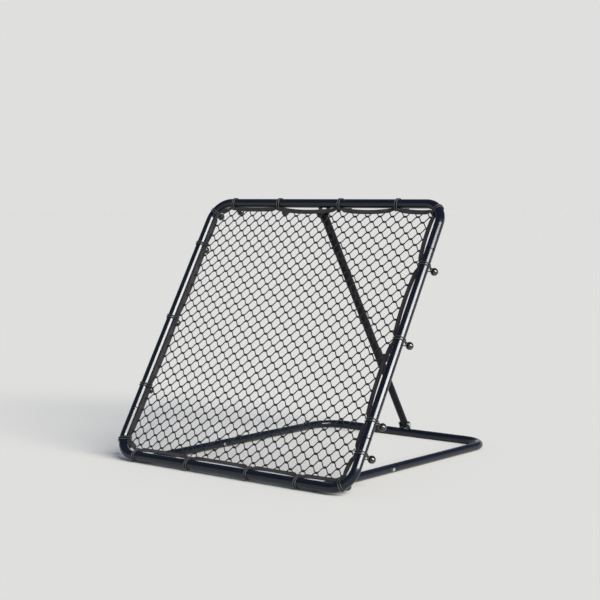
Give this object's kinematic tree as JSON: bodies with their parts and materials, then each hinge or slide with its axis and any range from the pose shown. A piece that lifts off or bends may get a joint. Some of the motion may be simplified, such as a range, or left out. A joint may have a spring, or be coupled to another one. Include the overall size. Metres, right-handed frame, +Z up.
{
  "type": "pitch back rebounder",
  "caption": "Pitch back rebounder: a ball net hung in bungee loops in a square black tube frame, leaning back on a telescopic strut over a flat tube base.",
  "frame": {"origin": "on the ground, in the middle of the object's width and of its depth", "axes": "+X to the right seen from the front, +Y to the back, where the strut's foot is, +Z up; the net faces -Y and leans back"},
  "size_m": [1.0149, 1.0182, 0.8732],
  "materials": {
    "black_tube": "gloss",
    "zinc": "satin",
    "net_cord": "matte",
    "tape": "matte",
    "bungee_cord": "satin",
    "ball_plastic": "gloss",
    "plastic": "satin"
  },
  "bodies": {
    "base": {"left_base_arm": "black_tube", "right_base_arm": "black_tube", "base_rear_bar": "black_tube", "arm_end_caps": "plastic", "base_bolts": "zinc", "base_nuts": "zinc", "foot_lugs": "black_tube", "foot_bolt": "zinc", "foot_nut": "zinc"},
    "front_frame": {"top_bar": "black_tube", "bottom_bar": "black_tube", "left_side_tube": "black_tube", "right_side_tube": "black_tube", "hinge_lugs": "black_tube", "hinge_bolts": "zinc", "hinge_nuts": "zinc", "top_lugs": "black_tube", "top_bolt": "zinc", "top_nut": "zinc", "net": "net_cord", "border_tape": "tape", "top_loops": "bungee_cord", "bottom_loops": "bungee_cord", "left_loops": "bungee_cord", "right_loops": "bungee_cord", "top_balls": "ball_plastic", "bottom_balls": "ball_plastic", "left_balls": "ball_plastic", "right_balls": "ball_plastic"},
    "strut_lower_tube": {"strut_lower": "black_tube"},
    "strut_upper_tube": {"strut_upper": "black_tube", "lock_nut": "black_tube"},
    "strut_lock": {"lock_screw": "zinc", "lock_knob": "plastic"}
  },
  "joints": [
    {"name": "frame_tilt", "type": "hinge", "parent": "base", "child": "front_frame", "pos_m": [0, -0.44945, 0.014], "axis": [1, 0, 0], "range_deg": [-7, 7]},
    {"name": "strut_swing", "type": "hinge", "parent": "base", "child": "strut_lower_tube", "pos_m": [0, 0.49355, 0.044], "axis": [1, 0, 0], "range_deg": [-3.6, 3.6]},
    {"name": "strut_slide", "type": "slide", "parent": "strut_lower_tube", "child": "strut_upper_tube", "axis": [0, -0.531, 0.8474], "range_m": [-0.102, 0.102]},
    {"name": "lock_turn", "type": "hinge", "parent": "strut_upper_tube", "child": "strut_lock", "pos_m": [0, 0.36001, 0.29477], "axis": [0, 0.8474, 0.531], "range_deg": [0, 360]}
  ],
  "couplings": [
    {"joint": "strut_swing", "follows": "frame_tilt", "ratio": 0.47983},
    {"joint": "strut_slide", "follows": "frame_tilt", "m_per_rad": 0.81501}
  ]
}
